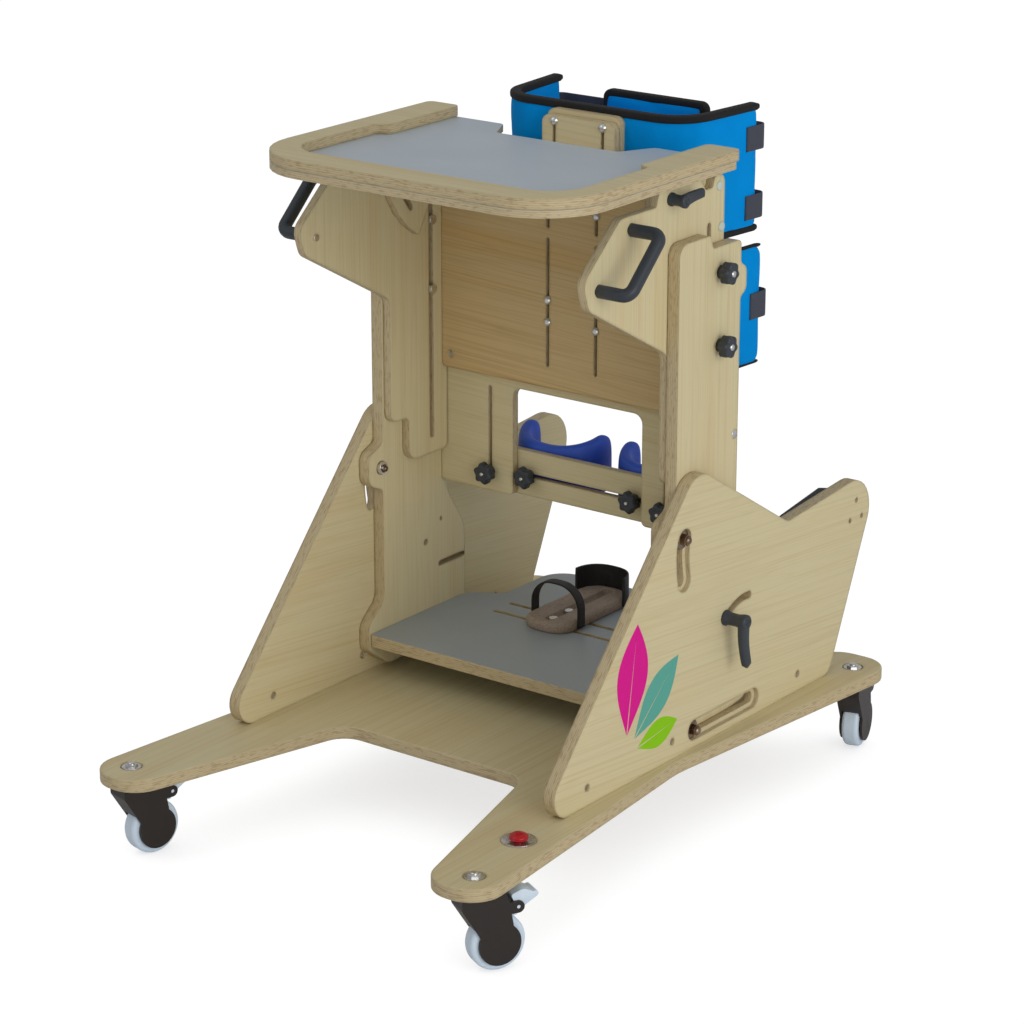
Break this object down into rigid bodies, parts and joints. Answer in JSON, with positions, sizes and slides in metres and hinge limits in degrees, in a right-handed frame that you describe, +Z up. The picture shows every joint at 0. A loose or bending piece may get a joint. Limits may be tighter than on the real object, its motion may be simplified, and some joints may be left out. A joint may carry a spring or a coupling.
{
  "type": "standing frame",
  "caption": "Wheeled plywood standing frame with a forward-tilting upright, a height-adjustable tray, chest, hip and knee supports and sandals on a footplate.",
  "frame": {"origin": "on the floor, under the middle of the whole object", "axes": "+X to the viewer's right when seen from the tray end, +Y from the tray towards the user, +Z up"},
  "size_m": [0.674, 1.0142, 0.95],
  "materials": {
    "plywood": "clear satin lacquer on birch plywood",
    "laminate": "satin grey film laminate",
    "steel": "zinc plated",
    "dark_plastic": "fine grained moulding",
    "red_plastic": "glossy",
    "castor_hood": "dark moulded nylon",
    "castor_tyre": "non-marking grey rubber",
    "pad_fabric": "padded knit fabric with black binding",
    "webbing": "woven webbing",
    "cup_foam": "skinned foam",
    "sole_foam": "dense foam sole",
    "strap_leather": "soft black strap"
  },
  "bodies": {
    "base": {"base_board": "plywood", "side_panel_left": "plywood", "side_panel_right": "plywood", "base_hardware": "steel", "rear_pad": "dark_plastic"},
    "button": {"red_button": "red_plastic"},
    "carriage": {"lower_pivot_bolts": "steel"},
    "lower_frame": {"lower_upright_left": "plywood", "lower_upright_right": "plywood", "footplate": "laminate", "knee_board": "plywood", "lower_frame_bolts": "steel"},
    "upper_frame": {"upper_upright_left": "plywood", "upper_upright_right": "plywood", "main_board": "plywood", "grab_handles": "dark_plastic", "upper_frame_bolts": "steel"},
    "tray": {"tray_board": "laminate", "tray_rim": "plywood", "tray_brackets": "plywood"},
    "chest_post": {"chest_post": "plywood"},
    "chest_support": {"chest_plate": "plywood", "chest_pad": "pad_fabric", "chest_harness": "webbing"},
    "hip_support": {"hip_plate": "plywood", "hip_pad": "pad_fabric", "hip_strap": "webbing"},
    "knee_bar": {"knee_bar": "plywood"},
    "castor_fl": {"castor_fl_fork": "castor_hood"},
    "wheel_fl": {"castor_fl_wheel": "castor_tyre"},
    "pedal_fl": {"castor_fl_pedal": "castor_tyre"},
    "castor_fr": {"castor_fr_fork": "castor_hood"},
    "wheel_fr": {"castor_fr_wheel": "castor_tyre"},
    "pedal_fr": {"castor_fr_pedal": "castor_tyre"},
    "castor_rl": {"castor_rl_fork": "castor_hood"},
    "wheel_rl": {"castor_rl_wheel": "castor_tyre"},
    "pedal_rl": {"castor_rl_pedal": "castor_tyre"},
    "castor_rr": {"castor_rr_fork": "castor_hood"},
    "wheel_rr": {"castor_rr_wheel": "castor_tyre"},
    "pedal_rr": {"castor_rr_pedal": "castor_tyre"},
    "tilt_lever_left": {"tilt_lever_left": "dark_plastic"},
    "tilt_lever_right": {"tilt_lever_right": "dark_plastic"},
    "height_knob_left_low": {"height_knob_left_low": "dark_plastic"},
    "height_knob_left_high": {"height_knob_left_high": "dark_plastic"},
    "height_knob_right_low": {"height_knob_right_low": "dark_plastic"},
    "height_knob_right_high": {"height_knob_right_high": "dark_plastic"},
    "tray_lever_left": {"tray_lever_left": "dark_plastic"},
    "tray_lever_right": {"tray_lever_right": "dark_plastic"},
    "knee_cup_left": {"knee_cup_left": "cup_foam"},
    "knee_cup_right": {"knee_cup_right": "cup_foam"},
    "knee_knob_left": {"knee_knob_left": "dark_plastic"},
    "knee_knob_right": {"knee_knob_right": "dark_plastic"},
    "cup_knob_left": {"cup_knob_left": "dark_plastic"},
    "cup_knob_right": {"cup_knob_right": "dark_plastic"},
    "sandal_slider_left": {"sandal_bolts_left": "steel"},
    "sandal_left": {"sandal_sole_left": "sole_foam", "sandal_straps_left": "strap_leather"},
    "sandal_slider_right": {"sandal_bolts_right": "steel"},
    "sandal_right": {"sandal_sole_right": "sole_foam", "sandal_straps_right": "strap_leather"}
  },
  "joints": [
    {"name": "carriage_slide", "type": "slide", "parent": "base", "child": "carriage", "axis": [0, 1, 0], "range_m": [0, 0.1428]},
    {"name": "tilt", "type": "hinge", "parent": "carriage", "child": "lower_frame", "pos_m": [0, 0.03791, 0.156], "axis": [1, 0, 0], "range_deg": [0, 32]},
    {"name": "height", "type": "slide", "parent": "lower_frame", "child": "upper_frame", "axis": [0, 0, 1], "range_m": [0, 0.2]},
    {"name": "tray_tilt", "type": "hinge", "parent": "upper_frame", "child": "tray", "pos_m": [0, 0.13098, 0.87987], "axis": [-1, 0, 0], "range_deg": [0, 45]},
    {"name": "chest_height", "type": "slide", "parent": "upper_frame", "child": "chest_post", "axis": [0, 0, 1], "range_m": [-0.01, 0.03]},
    {"name": "chest_fine_height", "type": "slide", "parent": "chest_post", "child": "chest_support", "axis": [0, 0, 1], "range_m": [-0.015, 0]},
    {"name": "hip_height", "type": "slide", "parent": "upper_frame", "child": "hip_support", "axis": [0, 0, 1], "range_m": [-0.05, 0.02]},
    {"name": "knee_height", "type": "slide", "parent": "lower_frame", "child": "knee_bar", "axis": [0, 0, 1], "range_m": [0, 0.105]},
    {"name": "knee_cup_side_left", "type": "slide", "parent": "knee_bar", "child": "knee_cup_left", "axis": [1, 0, 0], "range_m": [0, 0.012]},
    {"name": "knee_cup_side_right", "type": "slide", "parent": "knee_bar", "child": "knee_cup_right", "axis": [-1, 0, 0], "range_m": [0, 0.012]},
    {"name": "sandal_side_left", "type": "slide", "parent": "lower_frame", "child": "sandal_slider_left", "axis": [-1, 0, 0], "range_m": [-0.009, 0.06]},
    {"name": "sandal_side_right", "type": "slide", "parent": "lower_frame", "child": "sandal_slider_right", "axis": [1, 0, 0], "range_m": [-0.066, 0.025]},
    {"name": "sandal_length_left", "type": "slide", "parent": "sandal_slider_left", "child": "sandal_left", "axis": [0, 1, 0], "range_m": [-0.06, 0.005]},
    {"name": "sandal_length_right", "type": "slide", "parent": "sandal_slider_right", "child": "sandal_right", "axis": [0, 1, 0], "range_m": [-0.06, 0.005]},
    {"name": "button_press", "type": "slide", "parent": "base", "child": "button", "axis": [0, 0, 1], "range_m": [-0.003, 0], "stiffness_N_per_m": 900},
    {"name": "brake_fl", "type": "hinge", "parent": "castor_fl", "child": "pedal_fl", "pos_m": [-0.27508, -0.41045, 0.084], "axis": [-0.9744, 0.225, 0], "range_deg": [0, 18]},
    {"name": "brake_fr", "type": "hinge", "parent": "castor_fr", "child": "pedal_fr", "pos_m": [0.31188, -0.4153, 0.084], "axis": [-0.8829, 0.4695, 0], "range_deg": [0, 18]},
    {"name": "brake_rl", "type": "hinge", "parent": "castor_rl", "child": "pedal_rl", "pos_m": [-0.31188, 0.4717, 0.084], "axis": [-0.8829, -0.4695, 0], "range_deg": [0, 18]},
    {"name": "brake_rr", "type": "hinge", "parent": "castor_rr", "child": "pedal_rr", "pos_m": [0.27239, 0.47585, 0.084], "axis": [-0.9613, -0.2756, 0], "range_deg": [0, 18]},
    {"name": "tilt_clamp_left", "type": "hinge", "parent": "lower_frame", "child": "tilt_lever_left", "pos_m": [-0.275, 0.10791, 0.296], "axis": [1, 0, 0], "range_deg": [-90, 90]},
    {"name": "tilt_clamp_right", "type": "hinge", "parent": "lower_frame", "child": "tilt_lever_right", "pos_m": [0.275, 0.10791, 0.296], "axis": [1, 0, 0], "range_deg": [-90, 90]},
    {"name": "tray_clamp_left", "type": "hinge", "parent": "upper_frame", "child": "tray_lever_left", "pos_m": [-0.237, 0.01852, 0.88281], "axis": [1, 0, 0], "range_deg": [-90, 0]},
    {"name": "tray_clamp_right", "type": "hinge", "parent": "upper_frame", "child": "tray_lever_right", "pos_m": [0.237, 0.01852, 0.88281], "axis": [1, 0, 0], "range_deg": [-90, 0]},
    {"name": "swivel_fl", "type": "hinge", "parent": "base", "child": "castor_fl", "pos_m": [-0.287, -0.46209, 0.112], "axis": [0, 0, 1], "continuous": true},
    {"name": "roll_fl", "type": "hinge", "parent": "castor_fl", "child": "wheel_fl", "pos_m": [-0.2807, -0.4348, 0.0375], "axis": [-0.9744, 0.225, 0], "continuous": true},
    {"name": "swivel_fr", "type": "hinge", "parent": "base", "child": "castor_fr", "pos_m": [0.287, -0.46209, 0.112], "axis": [0, 0, 1], "continuous": true},
    {"name": "roll_fr", "type": "hinge", "parent": "castor_fr", "child": "wheel_fr", "pos_m": [0.30015, -0.43736, 0.0375], "axis": [-0.8829, 0.4695, 0], "continuous": true},
    {"name": "swivel_rl", "type": "hinge", "parent": "base", "child": "castor_rl", "pos_m": [-0.287, 0.42491, 0.112], "axis": [0, 0, 1], "continuous": true},
    {"name": "roll_rl", "type": "hinge", "parent": "castor_rl", "child": "wheel_rl", "pos_m": [-0.30015, 0.44964, 0.0375], "axis": [-0.8829, -0.4695, 0], "continuous": true},
    {"name": "swivel_rr", "type": "hinge", "parent": "base", "child": "castor_rr", "pos_m": [0.287, 0.42491, 0.112], "axis": [0, 0, 1], "continuous": true},
    {"name": "roll_rr", "type": "hinge", "parent": "castor_rr", "child": "wheel_rr", "pos_m": [0.27928, 0.45183, 0.0375], "axis": [-0.9613, -0.2756, 0], "continuous": true},
    {"name": "height_clamp_left_low", "type": "hinge", "parent": "lower_frame", "child": "height_knob_left_low", "pos_m": [-0.256, 0.10791, 0.673], "axis": [1, 0, 0], "continuous": true},
    {"name": "height_clamp_left_high", "type": "hinge", "parent": "lower_frame", "child": "height_knob_left_high", "pos_m": [-0.256, 0.10791, 0.772], "axis": [1, 0, 0], "continuous": true},
    {"name": "knee_clamp_left", "type": "hinge", "parent": "knee_bar", "child": "knee_knob_left", "pos_m": [-0.15, 0.14391, 0.411], "axis": [0, 1, 0], "continuous": true},
    {"name": "cup_clamp_left", "type": "hinge", "parent": "knee_cup_left", "child": "cup_knob_left", "pos_m": [-0.09, 0.15691, 0.4125], "axis": [0, 1, 0], "continuous": true},
    {"name": "height_clamp_right_low", "type": "hinge", "parent": "lower_frame", "child": "height_knob_right_low", "pos_m": [0.256, 0.10791, 0.673], "axis": [1, 0, 0], "continuous": true},
    {"name": "height_clamp_right_high", "type": "hinge", "parent": "lower_frame", "child": "height_knob_right_high", "pos_m": [0.256, 0.10791, 0.772], "axis": [1, 0, 0], "continuous": true},
    {"name": "knee_clamp_right", "type": "hinge", "parent": "knee_bar", "child": "knee_knob_right", "pos_m": [0.15, 0.14391, 0.411], "axis": [0, 1, 0], "continuous": true},
    {"name": "cup_clamp_right", "type": "hinge", "parent": "knee_cup_right", "child": "cup_knob_right", "pos_m": [0.09, 0.15691, 0.4125], "axis": [0, 1, 0], "continuous": true}
  ],
  "couplings": [
    {"joint": "carriage_slide", "follows": "tilt", "m_per_rad": 0.2555}
  ]
}
